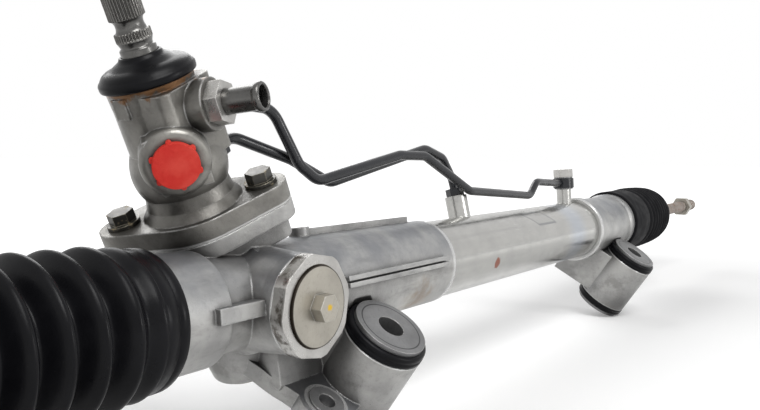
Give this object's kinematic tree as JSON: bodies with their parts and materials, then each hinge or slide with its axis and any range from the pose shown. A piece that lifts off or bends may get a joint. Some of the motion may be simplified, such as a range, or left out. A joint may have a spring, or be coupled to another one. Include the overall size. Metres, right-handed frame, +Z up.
{
  "type": "steering rack",
  "caption": "Hydraulic rack and pinion steering gear: ribbed alloy housing, steel cylinder tube, valve tower, folded rubber boots and tie rods.",
  "frame": {"origin": "centre of the near mount bush's bore", "axes": "+X along the rack bar from the near boot to the far boot, +Z up, the guide plug faces -Y"},
  "size_m": [1.248, 0.1144, 0.2367],
  "materials": {
    "cast_aluminium": "cast, light grey, machined rims",
    "tower_casting": "cast, darker grey with oily stains",
    "bright_steel": "drawn and polished",
    "grey_steel": "matt turned",
    "dark_steel": "oiled dark steel",
    "dark_bolt": "black oxide",
    "zinc_steel": "zinc plated, dull, some rust",
    "rusty_steel": "bare steel with light rust",
    "black_tube": "blue black coated",
    "black_rubber": "satin black",
    "seal_plastic": "low friction plastic",
    "red_plastic": "bright red moulded"
  },
  "bodies": {
    "housing": {"rack_housing": "cast_aluminium", "cylinder_tube": "bright_steel", "end_housing": "cast_aluminium", "valve_housing": "tower_casting", "flange_bolts": "dark_bolt", "flange_seal_ring": "black_rubber", "dust_cap": "black_rubber", "upper_oil_seal": "black_rubber", "upper_shaft_bearing": "bright_steel", "pinion_oil_seal": "black_rubber", "pinion_upper_bearing": "bright_steel", "pinion_lower_bearing": "bright_steel", "pinion_bottom_cap": "zinc_steel", "guide_spring": "bright_steel", "guide_plug": "zinc_steel", "guide_lock_nut": "zinc_steel", "near_boot": "black_rubber", "far_boot": "black_rubber", "near_mount_rubber": "black_rubber", "far_mount_rubber": "black_rubber", "near_mount_sleeve": "grey_steel", "far_mount_sleeve": "grey_steel", "lug_insert": "grey_steel", "front_transfer_tube": "black_tube", "rear_transfer_tube": "black_tube", "tube_nuts": "black_tube", "banjo_eye": "black_tube", "banjo_washers": "grey_steel", "banjo_bolt": "zinc_steel", "return_pipe": "dark_steel", "return_union_nut": "zinc_steel", "inner_rack_seal": "seal_plastic", "end_bushing": "seal_plastic", "outer_rack_seal": "black_rubber", "bushing_snap_ring": "dark_bolt"},
    "rack": {"rack_bar": "bright_steel", "piston": "dark_steel", "piston_ring": "seal_plastic", "piston_snap_rings": "dark_bolt", "near_ball_socket": "dark_steel", "far_ball_socket": "dark_steel", "socket_lock_washers": "grey_steel"},
    "near_seat": {"near_ball_seat": "seal_plastic"},
    "near_rod": {"near_tie_rod": "rusty_steel", "near_jam_nut": "zinc_steel", "near_boot_clip": "dark_bolt"},
    "far_seat": {"far_ball_seat": "seal_plastic"},
    "far_rod": {"far_tie_rod": "rusty_steel", "far_jam_nut": "zinc_steel", "far_boot_clip": "dark_bolt"},
    "pinion": {"pinion": "bright_steel", "pinion_nut": "zinc_steel", "valve_sleeve": "bright_steel", "valve_sleeve_rings": "seal_plastic", "torsion_bar": "bright_steel"},
    "input": {"input_shaft": "dark_steel"},
    "guide": {"rack_guide": "cast_aluminium", "guide_liner": "seal_plastic"},
    "cap": {"port_cap": "red_plastic"}
  },
  "joints": [
    {"name": "rack_slide", "type": "slide", "parent": "housing", "child": "rack", "axis": [1, 0, 0], "range_m": [-0.06, 0.06], "deforming": ["near_boot", "far_boot"]},
    {"name": "pinion_turn", "type": "hinge", "parent": "housing", "child": "pinion", "pos_m": [-0.0565, 0.04425, 0.04424], "axis": [-0.4163, 0, 0.9092], "range_deg": [-455, 455]},
    {"name": "input_twist", "type": "hinge", "parent": "pinion", "child": "input", "pos_m": [-0.0565, 0.04425, 0.04424], "axis": [-0.4163, 0, 0.9092], "range_deg": [-7, 7], "stiffness_Nm_per_rad": 80},
    {"name": "near_rod_swing_vertical", "type": "hinge", "parent": "rack", "child": "near_seat", "pos_m": [-0.2375, 0.02625, 0.04424], "axis": [0, 1, 0], "range_deg": [-20, 20], "deforming": ["near_boot"]},
    {"name": "near_rod_swing_level", "type": "hinge", "parent": "near_seat", "child": "near_rod", "pos_m": [-0.2375, 0.02625, 0.04424], "axis": [0, 0, 1], "range_deg": [-20, 20], "deforming": ["near_boot"]},
    {"name": "far_rod_swing_vertical", "type": "hinge", "parent": "rack", "child": "far_seat", "pos_m": [0.5945, 0.02625, 0.04424], "axis": [0, -1, 0], "range_deg": [-20, 20], "deforming": ["far_boot"]},
    {"name": "far_rod_swing_level", "type": "hinge", "parent": "far_seat", "child": "far_rod", "pos_m": [0.5945, 0.02625, 0.04424], "axis": [0, 0, -1], "range_deg": [-20, 20], "deforming": ["far_boot"]},
    {"name": "guide_lift", "type": "slide", "parent": "housing", "child": "guide", "axis": [0, -1, 0], "range_m": [0, 0.0002], "stiffness_N_per_m": 20000},
    {"name": "port_cap_pull", "type": "slide", "parent": "housing", "child": "cap", "axis": [-0.6084, -0.7431, -0.2785], "range_m": [0, 0.012]}
  ],
  "couplings": [
    {"joint": "pinion_turn", "follows": "rack_slide", "rad_per_m": 131.58}
  ]
}
